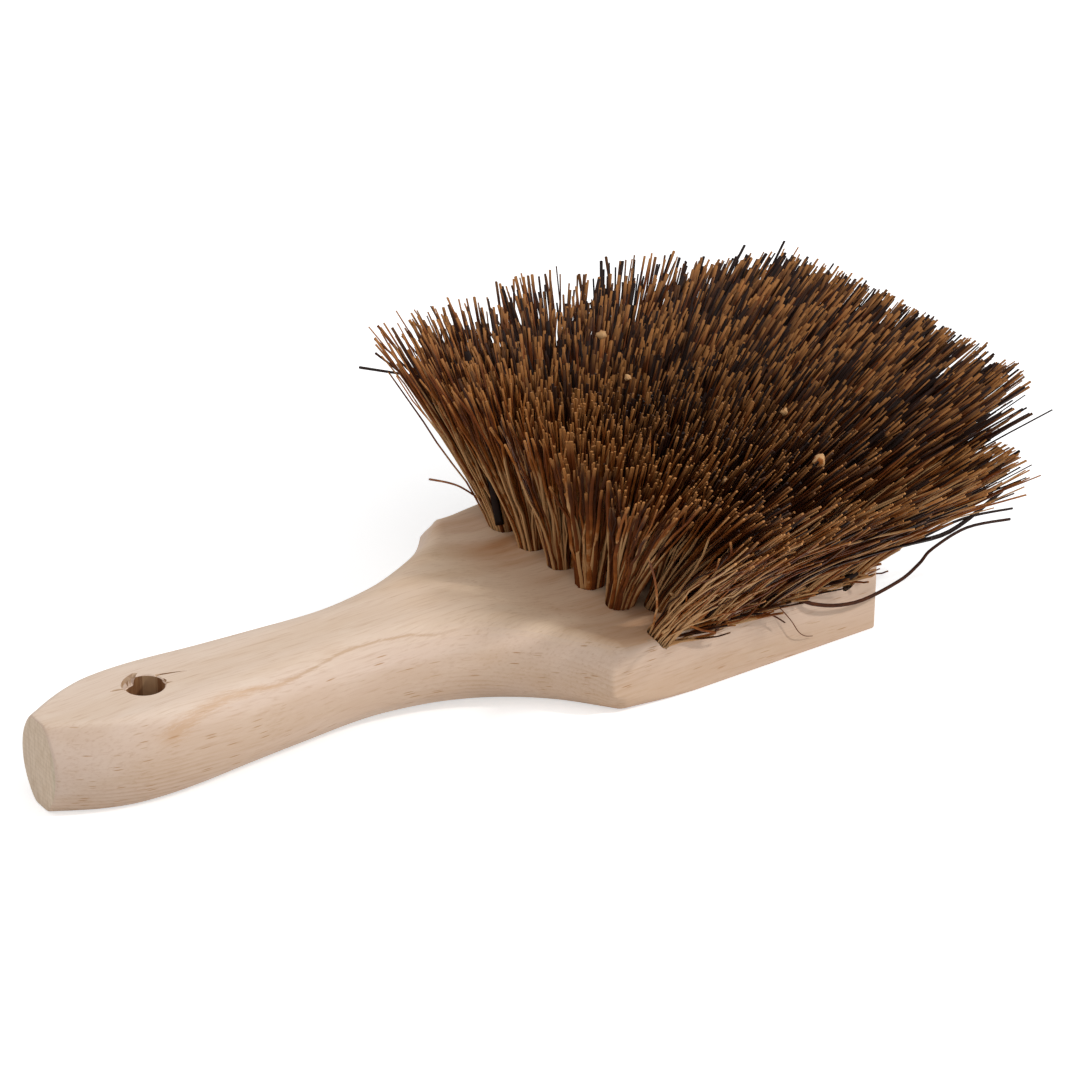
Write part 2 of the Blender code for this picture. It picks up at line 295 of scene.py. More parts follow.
def makeBeech():
    print("beech")
    made, tree, shader = newMaterial("bareBeech", beech["roughness"])
    place = vectors(tree, "SUBTRACT", objectPlace(tree), brushStart[:])
    x, y, z = split(tree, place)
    faceX, faceY, faceZ = trueNormal(tree)
    onTop = mapRange(tree, maths(tree, "ABSOLUTE", faceZ), 0.6, 0.95)
    onEnd = mapRange(tree, maths(tree, "ABSOLUTE", faceX), 0.9, 0.98)
    grain = vectors(tree, "ADD", place, scaled(tree, wander(tree, place, 14.0), beech["wander"]))
    slow = stretchedNoise(tree, grain, beech["layerStretch"])
    pores = stretchedNoise(tree, grain, beech["poreStretch"], 3.0, 0.6)
    saw = stretchedNoise(tree, place, beech["sawStretch"], 3.0, 0.7)
    rings = makeRings(tree, grain)
    fleck = makeFlecks(tree, grain, onTop)
    colour = blendColour(tree, mapRange(tree, slow, 0.35, 0.7), beech["pale"], beech["tan"])
    colour = blendColour(tree, ringShare(tree, rings, place, x, z, onTop), colour, beech["layer"])
    colour = blendColour(tree, mapRange(tree, pores, 0.46, 0.80, 0.0, 0.38), colour, beech["layer"])
    mottle = stretchedNoise(tree, place, beech["mottleStretch"], 4.0, 0.7)
    colour = blendColour(tree, mapRange(tree, mottle, 0.42, 0.75, 0.0, 0.20), colour, beech["light"])
    colour = blendColour(tree, fleck, colour, beech["fleck"])
    colour = makeStreak(tree, colour, x, y, faceZ, grain)
    warm = times(tree, mapRange(tree, x, *beech["warmRun"]), maths(tree, "MULTIPLY_ADD", onTop, 0.5, 0.25))
    colour = blendColour(tree, warm, colour, beech["warm"], "MULTIPLY")
    # Golden brown on the top just in front of the tufts, patchy along the grain: partly a real stain, partly
    # painted shade and bounce light from the fibres
    foot = mapRange(tree, slow, 0.35, 0.65, 0.10, 0.95)
    foot = times(tree, mapRange(tree, x, *beech["stainAndShadeRun"]), foot, onTop)
    colour = blendColour(tree, foot, colour, beech["stainAndShade"], "MULTIPLY")
    # Painted shade: every face but the top is made a little darker
    colour = blendColour(tree, oneMinus(tree, onTop), colour, beech["sideShade"], "MULTIPLY")
    colour = blendColour(tree, onEnd, colour, makeEndGrain(tree, x, y, saw, rings))
    height = maths(tree, "MULTIPLY_ADD", fleck, -1.2, times(tree, pores, 0.6))
    height = maths(tree, "MULTIPLY_ADD", saw, onEnd, height)
    bump = firstOf(tree, "ShaderNodeBump", {"Strength": 0.5, "Distance": beech["bump"], "Height": height})
    feed(tree, shader, {"Base Color": colour, "Normal": bump})
    return made


def makeRings(tree, grain):  # 1 on each growth line, 0 between
    middle = vectors(tree, "ADD", grain, (0.0, -0.004, beech["ringLow"]))
    away = vectors(tree, "LENGTH", vectors(tree, "MULTIPLY", middle, (0.02, 1.0, 1.0)))
    uneven = stretchedNoise(tree, grain, (5.0, 20.0, 130.0), 1.0)
    count = maths(tree, "MULTIPLY_ADD", uneven, 1.6, maths(tree, "DIVIDE", away, beech["ringPitch"]))
    return mapRange(tree, maths(tree, "FRACT", count), 0.35, 0.95)


def ringShare(tree, rings, place, x, z, onTop):  # the lines come and go, faint high up and on the flat
    low = mapRange(tree, z, 0.010, 0.020, 1.0, 0.22)
    patch = mapRange(tree, stretchedNoise(tree, place, beech["patchStretch"], 1.0), 0.4, 0.62, 0.25, 1.0)
    aside = oneMinus(tree, times(tree, onTop, 0.85))
    return times(tree, rings, low, patch, curveOf(tree, x, ringPlaces, 0.0, 1.0), aside, 0.36)


def makeEndGrain(tree, x, y, saw, rings):
    sawn = mapRange(tree, saw, 0.35, 0.7)
    colour = blendColour(tree, sawn, beech["endGrain"], beech["endTan"])
    colour = blendColour(tree, times(tree, rings, 0.12), colour, beech["endRing"])
    nearSide = mapRange(tree, y, -0.0085, -0.0060, 0.14, 0.0)
    green = times(tree, nearSide, mapRange(tree, x, 0.002, 0.01, 1.0, 0.0))
    return blendColour(tree, green, colour, beech["endGreen"])


def flecksOf(tree, grain, size):
    given = {"Vector": vectors(tree, "DIVIDE", grain, size), "Scale": 1.0}
    cells = fedNode(tree, "ShaderNodeTexVoronoi", given).outputs
    near = mapRange(tree, cells["Distance"], 0.12, 0.29, 1.0, 0.0)
    chosen = mapRange(tree, split(tree, cells["Color"])[0], 0.30, 0.85)
    return times(tree, near, chosen)


def makeFlecks(tree, grain, onTop):  # thin lines on the flat, short strokes along the sides
    patch = mapRange(tree, noise(tree, grain, 60.0, 2.0), 0.34, 0.56)
    flat = times(tree, flecksOf(tree, grain, beech["flatFleck"]), times(tree, onTop, 0.40))
    side = times(tree, flecksOf(tree, grain, beech["sideFleck"]), times(tree, oneMinus(tree, onTop), 0.85))
    return times(tree, maths(tree, "ADD", flat, side), patch)


def makeStreak(tree, colour, x, y, faceZ, grain):
    low, high = streakWay[0][0], streakWay[-1][0]
    middle = curveOf(tree, x, [(at, across) for at, across, half in streakWay], -0.022, 0.0)
    width = curveOf(tree, x, [(at, half) for at, across, half in streakWay], 0.0, 0.004)
    ragged = stretchedNoise(tree, grain, (190.0, 1700.0, 900.0), 4.0, 0.8)
    away = maths(tree, "DIVIDE", maths(tree, "ABSOLUTE", maths(tree, "SUBTRACT", y, middle)), width)
    share = mapRange(tree, maths(tree, "MULTIPLY_ADD", ragged, 3.6, away), 1.8, 2.9, 1.0, 0.0)
    start = mapRange(tree, x, low, low + 0.008)
    inside = times(tree, start, mapRange(tree, x, high - 0.03, high, 1.0, 0.0))
    share = times(tree, share, inside, mapRange(tree, faceZ, 0.1, 0.5), 0.42)
    tint = blendColour(tree, mapRange(tree, x, *beech["goldRun"]), beech["orange"], beech["gold"])
    return blendColour(tree, share, colour, tint)


# The wall of a drilled hole: dark streaky wood, paler where it faces up, with a painted highlight down the
# part of the wall that faces one way
bored = {
    "dark": "7e5330",
    "light": "9f7249",
    # the colour of the painted highlight down one side of the wall
    "along": "c4a07a",
    "upwards": "cfb294",
    "roughness": 0.7,
    "stretch": (600.0, 600.0, 90.0),
    "paintedHighlightWay": (0.68, 0.73),
}


def makeHoleWall():
    made, tree, shader = newMaterial("boredBeech", bored["roughness"])
    streaks = mapRange(tree, stretchedNoise(tree, objectPlace(tree), bored["stretch"]), 0.35, 0.7)
    colour = blendColour(tree, streaks, bored["dark"], bored["light"])
    faceX, faceY, faceZ = trueNormal(tree)
    # Painted highlight: the part of the wall that faces the highlight's way is made paler
    highlightX, highlightY = bored["paintedHighlightWay"]
    side = maths(tree, "ABSOLUTE", maths(tree, "ADD", times(tree, faceX, highlightX), times(tree, faceY, highlightY)))
    colour = blendColour(tree, mapRange(tree, side, 0.88, 0.97, 0.0, 0.8), colour, bored["along"])
    colour = blendColour(tree, mapRange(tree, faceZ, 0.1, 0.6, 0.0, 0.75), colour, bored["upwards"])
    feed(tree, shader, {"Base Color": colour})
    return made


# The handle and block: one board, routed round along the handle, sawn square round the block
wood = {
    "handle": 0.160,
    "faceTop": 0.0212,
    "endFlat": 0.0033,
    "gripFlat": 0.0155,
    "neckFlat": 0.0124,
    "bulge": 0.0062,
    "slope": 0.040,
    "slopePast": 0.008,
    # The edge along the handle: share of its length, share of the way to the wider place
    "endToGrip": ((0.0, 0.0), (0.077, 0.55), (0.154, 0.87), (0.28, 1.0)),
    "neckToGrip": ((0.46, 0.42), (0.60, 0.0)),
    "neckToBlock": ((0.69, 0.05), (0.77, 0.15), (0.846, 0.32), (0.923, 0.595), (1.0, 1.0)),
    "softEnd": 0.0012,  # how far the rounding reaches from the crease, at the end and along the grip
    "softGrip": 0.0072,
    "softBlock": 0.0008,
    "softRun": (0.014, 0.045),  # where the rounding starts to widen, and over what length it does
    "hardRun": (0.150, 0.035),  # the same for where it narrows again to the block's edge
    "softMost": 0.6,
    "ridgeBlend": 0.0009,
    "endRound": 0.0007,
    "endTurns": (0, 0.4, 0.8, 1.2, math.pi / 2),
    "stations": ((0.0, 0.003, 1, 46), (0.138, 0.0006, 0, 58), (0.176, 0.008, 0, 10)),  # start, step, counts
    "flatShares": (0.0, 0.35, 0.65, 0.85, 0.94, 0.98, 1.0),  # points across the flat, closer towards its edge
    "roundSteps": 7,
    "sideSteps": 16,
    "hangHole": 0.0056,
    "hangRim": 0.0004,
    "hangAt": 0.0335,
    "hangSides": 48,
    "boreReach": 0.03,
    "overrun": 0.0001,
    "tornFrom": 0.0061,  # how near to the hanging hole's middle the torn grain starts and ends
    "tornTo": 0.0150,
    "tornHalf": 0.0078,
    "wallFrom": 0.001,  # between the back and the face, a tuft's hole has only its wall and floor
    "sharpFrom": 32,
}


def outlinePoints():
    runs = (
        (wood["endToGrip"], wood["endFlat"], wood["gripFlat"]),
        (wood["neckToGrip"], wood["neckFlat"], wood["gripFlat"]),
        (wood["neckToBlock"], wood["neckFlat"], halfBlock),
    )
    return [(a * wood["handle"], mix(low, high, s)) for shares, low, high in runs for a, s in shares]


def flatHalf(x, points):
    def slope(i):
        before, after = points[max(i - 1, 0)], points[min(i + 1, len(points) - 1)]
        return (after[1] - before[1]) / (after[0] - before[0])

    last = len(points) - 1
    if x >= points[last][0]:
        return points[last][1] + slope(last) * (x - points[last][0])
    i = max(k for k in range(last) if points[k][0] <= x)
    (x0, y0), (x1, y1) = points[i], points[i + 1]
    t = (x - x0) / (x1 - x0)
    m0, m1 = slope(i) * (x1 - x0), slope(i + 1) * (x1 - x0)
    return (y0 * (1 - t) ** 2 * (1 + 2 * t) + m0 * t * (1 - t) ** 2
            + y1 * t * t * (3 - 2 * t) - m1 * t * t * (1 - t))


def topAt(x):
    slopeEnd = wood["handle"] + wood["slopePast"]
    return mix(boardTop, wood["faceTop"], ease(1 - (slopeEnd - x) / wood["slope"]))


def woodStations():  # where each ring stands, and how far the end's small round sets it in
    xs = [start + i * step for start, step, first, last in wood["stations"] for i in range(first, last)]
    end = wood["endRound"]
    curl = [(end * (1 - math.sin(a)), end * (1 - math.cos(a))) for a in wood["endTurns"]]
    start = [(inX, inset) for inset, inX in curl]
    finish = [(woodLength - inX, inset) for inset, inX in reversed(curl)]
    return start + [(x, 0.0) for x in xs] + finish


def softAt(x):
    softFrom, softOver = wood["softRun"]
    hardFrom, hardOver = wood["hardRun"]
    grip = mix(wood["softEnd"], wood["softGrip"], ease((x - softFrom) / softOver))
    return mix(grip, wood["softBlock"], ease((x - hardFrom) / hardOver))


def woodRing(x, inset, points):
    half, top = flatHalf(x, points), topAt(x)
    middle, bulge = top / 2, wood["bulge"]
    radius = (top * top / 4 + bulge * bulge) / (2 * bulge)

    def sideAt(z):
        out = half + bulge - radius + math.sqrt(max(radius * radius - (z - middle) ** 2, 0.0))
        return softMin(out, halfBlock, wood["ridgeBlend"])

    soft = min(softAt(x), half * wood["softMost"])
    corner, low = sideAt(top), top - soft
    flatEnd, join = corner - soft, sideAt(low)
    quarter = [(flatEnd * share, top) for share in wood["flatShares"]]
    for step in range(1, wood["roundSteps"]):
        t = step / wood["roundSteps"]
        y = flatEnd * (1 - t) ** 2 + corner * 2 * t * (1 - t) + join * t * t
        z = top * (1 - t) ** 2 + top * 2 * t * (1 - t) + low * t * t
        quarter.append((y, z))
    for step in range(wood["sideSteps"] + 1):
        z = mix(low, middle, step / wood["sideSteps"])
        quarter.append((sideAt(z), z))
    side = quarter + [(y, top - z) for y, z in reversed(quarter[:-1])]
    loop = side + [(-y, z) for y, z in reversed(side[1:-1])]
    inY, inZ = 1 - inset / sideAt(middle), 1 - 2 * inset / top
    return [Vector((x, y * inY, middle + (z - middle) * inZ)) for y, z in loop]


def makeMesh(shape, name):
    bmesh.ops.recalc_face_normals(shape, faces=shape.faces)
    mesh = bpy.data.meshes.new(name)
    shape.to_mesh(mesh)
    shape.free()
    return mesh


def makeObject(name, mesh):
    made = bpy.data.objects.new(name, mesh)
    bpy.context.scene.collection.objects.link(made)
    return made


def plainMesh(holder, name):  # what the holder's modifier makes of it
    bpy.context.view_layer.update()
    graph = bpy.context.evaluated_depsgraph_get()
    mesh = bpy.data.meshes.new_from_object(holder.evaluated_get(graph))
    mesh.name = name
    return mesh


def smoothTo(mesh, angle):  # smooth, but for edges sharper than this, in degrees
    mesh.shade_smooth()
    mesh.set_sharp_from_angle(angle=math.radians(angle))


def joinRings(shape, rings):
    for before, after in zip(rings, rings[1:]):
        for i in range(len(before)):
            k = (i + 1) % len(before)
            shape.faces.new((before[i], before[k], after[k], after[i]))


def closeEnds(shape, rings):
    shape.faces.new(rings[0])
    shape.faces.new(rings[-1])


def makeWoodBlank():
    points = outlinePoints()
    shape = bmesh.new()
    rings = [[shape.verts.new(p) for p in woodRing(x, inset, points)] for x, inset in woodStations()]
    joinRings(shape, rings)
    closeEnds(shape, rings)
    return makeMesh(shape, "handleAndBlock")


# The drilled field and the fan that the fibres make over it
field = {
    "firstRow": 0.174,
    "lastRow": 0.2412,
    "rows": 9,
    "offMiddle": 0.0029,
    "pitch": 0.0146,
    "edgeTuft": -0.0470,
    "holeRadius": 0.0041,
    "holeDepth": 0.0105,
    "holeTilt": 0.65,  # the hole's share of its tuft's lean
    "drillSides": 20,
    "drillAbove": 0.009,
    "beside": 0.006,  # how far the holes' walls reach past the outer rows' middles
    "frontTilt": 4.2,
    "tipTilt": 52.0,
    "tiltGrowth": 1.48,
    "frontSideTilt": 57.5,
    "tipSideTilt": 34.8,
    "sideGrowth": 1.26,
    "edgeTilt": 42.0,  # the most that the tufts at the near edge lean outwards
    "edgeLift": 0.86,  # how much of their outward lean is left at the tip
    "edgeSweep": 17.0,  # how much further the front ones lean towards the tip
    "frontLength": 0.0690,
    "tipLength": 0.0815,
    "sideShorter": 0.0080,
    "farTipShare": 0.75,  # how much of that is left at the far corner of the tip
    "edgeShorter": 0.0165,  # how much shorter the last tuft at the near edge is than its neighbours
    "trimHeight": 0.0497,
}


def rowShare(x):  # 0 at the row by the handle, 1 at the row by the tip
    return (x - field["firstRow"]) / (field["lastRow"] - field["firstRow"])


def atNearEdge(y):
    return y < field["edgeTuft"] + field["pitch"] / 2


def leanAt(x, y, share):
    left = max(1 - rowShare(x), 0.0)
    along = -field["frontTilt"] + (field["frontTilt"] + field["tipTilt"]) * (1 - left ** field["tiltGrowth"])
    most = mix(field["tipSideTilt"], field["frontSideTilt"], left)
    outwards = math.copysign(most * abs(y / halfBlock) ** field["sideGrowth"], y)
    if atNearEdge(y):
        along += field["edgeSweep"] * left
        outwards = max(outwards * mix(field["edgeLift"], 1.0, left), -field["edgeTilt"])
    tans = [math.tan(math.radians(angle * share)) for angle in (along, outwards)]
    return Vector((*tans, 1)).normalized()


def trimmedTip(x, y):
    root = Vector((x, y, wood["faceTop"]))
    share = rowShare(x)
    shorter = field["sideShorter"] * (mix(1.0, field["farTipShare"], share) if y > 0 else 1.0)
    length = mix(field["frontLength"], field["tipLength"], share) - shorter * (y / halfBlock) ** 2
    if atNearEdge(y):
        length -= field["edgeShorter"] * share * share
    tip = root + leanAt(x, y, 1) * length
    return root + (tip - root) * min(1, field["trimHeight"] / (tip.z - root.z))


def tuftPlaces():
    rowPitch = (field["lastRow"] - field["firstRow"]) / (field["rows"] - 1)
    for row in range(field["rows"]):
        wide = row % 2 == 1
        count = 6 if wide else 5
        across = [field["offMiddle"] + (i - (count - 1) / 2) * field["pitch"] for i in range(count)]
        if not wide:
            across.insert(0, field["edgeTuft"])
        for i, y in enumerate(across):
            yield "abcdefghi"[row] + str(i + 1), field["firstRow"] + row * rowPitch, y


def holeFrame(x, y):
    up = leanAt(x, y, field["holeTilt"])
    across = up.cross(Vector((1, 0, 0))).normalized()
    return across.cross(up), across, up


# Torn grain round the hanging hole: depth, how much of its outline its foot keeps, the outline in mm
tears = (
    (2.6, 0.4, (-5.3, -0.4), (-6.4, 1.1), (-5.8, 3.1), (-4.7, 4.6), (-3.2, 6.0), (-1.5, 6.9), (0.4, 7.5),
     (1.7, 6.9), (0.6, 6.0), (0.3, 4.4), (-3.4, 2.6)),
    (1.0, 0.4, (4.2, 3.1), (5.2, 3.4), (6.8, 2.9), (9.6, 2.0), (13.6, 0.4), (9.4, 1.5), (6.4, 2.3),
     (4.7, 2.4)),
    (0.9, 0.4, (4.6, -1.7), (5.6, -1.8), (7.4, -2.6), (5.4, -2.7), (4.4, -2.7)),
    (0.8, 0.6, (4.8, 0.8), (6.1, 0.3), (6.3, -0.9), (5.7, -1.9), (4.6, -1.0)),
    (0.6, 0.3, (-9.8, 2.1), (-8.2, 2.4), (-6.6, 1.9), (-5.2, 0.7), (-6.8, 1.2), (-8.4, 1.6)),
)
tearRough = 0.16  # how ragged a tear is under the surface, in mm
tearAbove = 0.4  # how far its cutter stands out over the wood


def tearShape(depth, foot, outline):
    shape = bmesh.new()
    draw = random.Random(len(outline))
    middle = sum((Vector(spot) for spot in outline), Vector((0, 0))) / len(outline)
    rings = []
    for height in (tearAbove, 0.0, -0.4 * depth, -depth):
        share = 1 + (1 - foot) * height / depth
        rough = 0.0 if height >= 0 else tearRough
        ring = []
        for spot in outline:
            out = middle + (Vector(spot) - middle) * share
            place = Vector((out.x + draw.uniform(-rough, rough), out.y + draw.uniform(-rough, rough), height))
            ring.append(shape.verts.new(place / 1000 + Vector((wood["hangAt"], 0, boardTop))))
        rings.append(ring)
    joinRings(shape, rings)
    bmesh.ops.triangulate(shape, faces=shape.faces)
    closeEnds(shape, rings)
    return shape


def addCutter(cutters, name, shape):
    cutters.objects.link(makeObject(name, makeMesh(shape, name)))


def addDrill(cutters, place, foot, top, depth, sides):  # foot and top are its radii
    shape = bmesh.new()
    bmesh.ops.create_cone(shape, cap_ends=True, segments=sides, radius1=foot, radius2=top, depth=depth,
                          matrix=place)
    addCutter(cutters, "drill", shape)


def makeCutters(cutters):
    radius, low, high = field["holeRadius"], -field["holeDepth"], field["drillAbove"]
    for _, x, y in tuftPlaces():
        axes = Matrix(holeFrame(x, y))
        middle = Vector((x, y, wood["faceTop"])) + axes[2] * (low + high) / 2
        place = Matrix.Translation(middle) @ axes.transposed().to_4x4()
        addDrill(cutters, place, radius, radius, high - low, field["drillSides"])
    rim, bore, reach = wood["hangRim"], wood["hangHole"], wood["boreReach"]
    place = Matrix.Translation((wood["hangAt"], 0, wood["faceTop"]))
    addDrill(cutters, place, bore, bore, reach * 2, wood["hangSides"])
    place = Matrix.Translation((wood["hangAt"], 0, boardTop - rim * 0.4))
    addDrill(cutters, place, bore - wood["overrun"], bore + rim, rim, wood["hangSides"])
    for depth, foot, *outline in tears:
        addCutter(cutters, "tear", tearShape(depth, foot, outline))


def isCutWall(face):  # in the hanging hole, in the torn grain round it or in a tuft's hole
    x, y, z = face.center
    away = Vector((x, y)) - Vector((wood["hangAt"], 0))
    inHang = away.length < wood["hangHole"] + wood["overrun"] and abs(face.normal.z) < 0.4
    inTorn = wood["tornFrom"] < away.length < wood["tornTo"] and abs(away.y) < wood["tornHalf"]
    inTorn = inTorn and face.normal.z < 0.9 and z < boardTop
    inTuft = wood["wallFrom"] < z < wood["faceTop"] - 0.0002 and abs(y) < halfBlock - wood["wallFrom"]
    inTuft = inTuft and field["firstRow"] - field["beside"] < x < field["lastRow"] + field["beside"]
    return inHang or inTorn or inTuft


def makeWood():
    print("handle and block")
    blank = makeObject("woodBlank", makeWoodBlank())
    cutters = bpy.data.collections.new("cutters")
    bpy.context.scene.collection.children.link(cutters)
    makeCutters(cutters)
    cuts = blank.modifiers.new("cuts", "BOOLEAN")
    cuts.operand_type = "COLLECTION"
    cuts.collection = cutters
    cuts.operation = "DIFFERENCE"
    cuts.solver = "EXACT"
    mesh = plainMesh(blank, "handleAndBlock")
    for old in list(cutters.objects) + [blank]:
        bpy.data.objects.remove(old, do_unlink=True)
    bpy.data.collections.remove(cutters)
    mesh.materials.clear()
    mesh.materials.append(makeBeech())
    mesh.materials.append(makeHoleWall())
    for face in mesh.polygons:
        face.material_index = int(isCutWall(face))
    mesh.transform(Matrix.Translation(brushStart))
    smoothTo(mesh, wood["sharpFrom"])
    piece = makeObject("handleAndBlock", mesh)
    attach(piece, "root")
    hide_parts("handle_block")


# Palm fibre: dark brown to tan, a few slate black, paler where it was cut, with painted shade at the roots
palm = {
    "roughness": 0.55,
    "gloss": 0.13,
    "tones": ((0.0, "1b1a1d"), (0.02, "171618"), (0.08, "130b07"), (0.30, "221009"), (0.50, "46210b"),
              (0.73, "723a14"), (0.89, "995a26"), (1.0, "c39768")),
    "cutEnd": "b47c46",
    # painted shade at the fibres' roots, down in the holes
    "foot": "140b07",
    "patchScale": 190.0,
}


def makePalm():
    print("palm fibre")
    made, tree, shader = newMaterial("palmFibre", palm["roughness"])
    tone, along = attributeOf(tree, "tone"), attributeOf(tree, "along")
    patches = maths(tree, "SUBTRACT", noise(tree, objectPlace(tree), palm["patchScale"], 3.0, 0.7), 0.5)
    shade = maths(tree, "MULTIPLY_ADD", patches, 0.7, tone)
    shade = times(tree, shade, mapRange(tree, along, 0.40, 0.85, 1.15, 0.68))
    shade = maths(tree, "MULTIPLY_ADD", shade, 0.77, 0.205)
    colour = ramp(tree, shade, palm["tones"])
    tip = times(tree, mapRange(tree, along, 0.90, 1.0, 0.0, 0.7), mapRange(tree, tone, 0.2, 0.7))
    colour = blendColour(tree, tip, colour, palm["cutEnd"])
    # Painted shade: each fibre darkens towards its root, where it goes down into its hole among the others
    root = mapRange(tree, along, 0.0, 0.10, 0.5, 0.0)
    colour = blendColour(tree, root, colour, palm["foot"])
    feed(tree, shader, {"Base Color": colour, "Specular IOR Level": palm["gloss"]})
    return made


# How a tuft's fibres grow: each from its spot in the hole to its spot in the fan, bent and a little wavy
fibre = {
    "count": 142,
    "thin": 0.00029,  # the least and the most radius
    "thick": 0.00069,
    "sides": 5,
    "joints": 10,
    "flatness": 0.74,
    "taper": 0.22,
    "packShare": 0.94,  # how much of the hole the fibres fill
    "rootDepth": 0.003,
    "splay": 0.0078,
    "bend": 0.26,
    "clump": 0.0110,
    "clumpScale": 95.0,
    "stray": 0.0040,
    "farStray": (1.7, 0.48),  # most fibres stray little, a few far
    "strayWays": (1.0, 1.0, 0.3),
    "wave": 0.0070,
    "waves": 4.2,
    "upWave": 0.35,
    "lively": (1.2, 0.5),
    "shortCut": 0.30,
    "shears": (-0.0012, 0.0006),  # how unevenly the shears cut
    "wallRoom": 0.0036,  # room for the wave before the box's walls
    "margin": 0.0006,
    "tonePatch": (0.55, -0.275),
    "patchScale": 70.0,
    "frontTones": {"a": 0.37, "b": 0.18},  # the tufts round the front and the near edge are the paler ones
    "otherTone": -0.03,
    "edgeTone": (0.16, -0.10),
    "edgeToneSpread": 1.75,
    "edgeLoose": (3.4, 1.1),  # how loose the near edge's tufts are, at the front and at the tip
    "edgeCount": 0.78,
    "sharpFrom": 60,
    "seed": 7,
}
goldenAngle = 2.399963
tuftInputs = {
    "Int": ("Fibres", "Seed", "Joints", "Sides"),
    "Float": ("Thin", "Thick", "Flatness", "Bend", "Stray", "Wave", "Short Cut", "Clump", "Clump Scale",
              "Tone Spread", "Tone Shift", "Trim Level"),
    "Vector": ("Mouth", "Hole Way", "Root Along", "Root Across", "Tip Middle", "Tip Along", "Tip Across",
               "Low Corner", "High Corner"),
    "Material": ("Finish",),
}


def indexOf(tree):
    return addNode(tree, "GeometryNodeInputIndex").outputs[0]


def chance(tree, given, offset, low=0.0, high=1.0):  # a number of its own for each fibre
    dealt = {"ID": indexOf(tree), "Seed": maths(tree, "ADD", given["Seed"], float(offset))}
    node = fedNode(tree, "FunctionNodeRandomValue", dealt, data_type="FLOAT")
    for value, socket in zip((low, high), node.inputs[2:4]):  # the node's plain number sockets
        plug(tree, value, socket)
    return node.outputs[1]


def onward(tree, flow, kind, given, **settings):  # the flow after one more geometry node
    node = fedNode(tree, "GeometryNode" + kind, given, **settings)
    tree.links.new(flow, node.inputs[0])
    return node.outputs[0]


def keep(tree, flow, name, value, kind="FLOAT"):
    return onward(tree, flow, "StoreNamedAttribute", {"Name": name, "Value": value}, data_type=kind)


def read(tree, name, kind="FLOAT"):
    return firstOf(tree, "GeometryNodeInputNamedAttribute", {"Name": name}, data_type=kind)


def fibreEnds(tree, given):  # both ends of each fibre, and the spot that its tip was dealt
    number = indexOf(tree)
    turn = maths(tree, "MULTIPLY_ADD", number, goldenAngle, given["Seed"])  # spots like seeds in a sunflower
    reach = maths(tree, "SQRT", maths(tree, "DIVIDE", maths(tree, "ADD", number, 0.5), given["Fibres"]))
    discX, discY = (times(tree, reach, maths(tree, wave, turn)) for wave in ("COSINE", "SINE"))

    def spread(middle, along, across):
        out = vectors(tree, "ADD", middle, scaled(tree, along, discX))
        return vectors(tree, "ADD", out, scaled(tree, across, discY))

    root = spread(given["Mouth"], given["Root Along"], given["Root Across"])
    spot = spread(given["Tip Middle"], given["Tip Along"], given["Tip Across"])
    ways = (chance(tree, given, 11 + axis, -1.0, most) for axis, most in enumerate(fibre["strayWays"]))
    far = maths(tree, "MULTIPLY_ADD", maths(tree, "POWER", chance(tree, given, 15), 5.0), *fibre["farStray"])
    strayed = scaled(tree, combine(tree, *ways), times(tree, given["Stray"], far))
    drift = scaled(tree, wander(tree, spot, given["Clump Scale"]), given["Clump"])  # drawn together in locks
    tip = vectors(tree, "ADD", vectors(tree, "ADD", spot, drift), strayed)
    trim = maths(tree, "ADD", given["Trim Level"], chance(tree, given, 25, *fibre["shears"]))
    tip = vectors(tree, "MINIMUM", tip, combine(tree, 9.0, 9.0, trim))  # trimmed from above alone
    inner = (fibre["wallRoom"], fibre["wallRoom"], 0.0)
    tip = vectors(tree, "MINIMUM", tip, vectors(tree, "SUBTRACT", given["High Corner"], inner))
    tip = vectors(tree, "MAXIMUM", tip, vectors(tree, "ADD", given["Low Corner"], inner))
    cut = oneMinus(tree, times(tree, given["Short Cut"], maths(tree, "POWER", chance(tree, given, 21), 3.2)))
    tip = vectors(tree, "ADD", root, scaled(tree, vectors(tree, "SUBTRACT", tip, root), cut))
    return root, tip, spot


def plantFibres(tree, given):  # one point for each fibre, which knows what the fibre is to be
    root, tip, spot = fibreEnds(tree, given)
    length = vectors(tree, "LENGTH", vectors(tree, "SUBTRACT", tip, root))
    knee = vectors(tree, "ADD", root, scaled(tree, given["Hole Way"], times(tree, length, given["Bend"])))
    flow = firstOf(tree, "GeometryNodePoints", {"Count": given["Fibres"]})
    for name, value in (("root", root), ("knee", knee), ("tip", tip)):
        flow = keep(tree, flow, name, value, "FLOAT_VECTOR")
    patch = maths(tree, "MULTIPLY_ADD", noise(tree, spot, fibre["patchScale"], 1.0), *fibre["tonePatch"])
    patch = maths(tree, "ADD", patch, given["Tone Shift"])
    tone = maths(tree, "MULTIPLY_ADD", chance(tree, given, 31), given["Tone Spread"], patch)
    spare = maths(tree, "SUBTRACT", given["Thick"], given["Thin"])
    thick = maths(tree, "POWER", chance(tree, given, 41), 1.7)
    thick = maths(tree, "MULTIPLY_ADD", thick, spare, given["Thin"])
    lively = maths(tree, "POWER", chance(tree, given, 61), 4.0)
    lively = maths(tree, "MULTIPLY_ADD", lively, *fibre["lively"])
    phase = chance(tree, given, 51, 0.0, 400.0)
    for name, value in (("tone", tone), ("thick", thick), ("lively", lively), ("phase", phase)):
        flow = keep(tree, flow, name, value)
    return flow


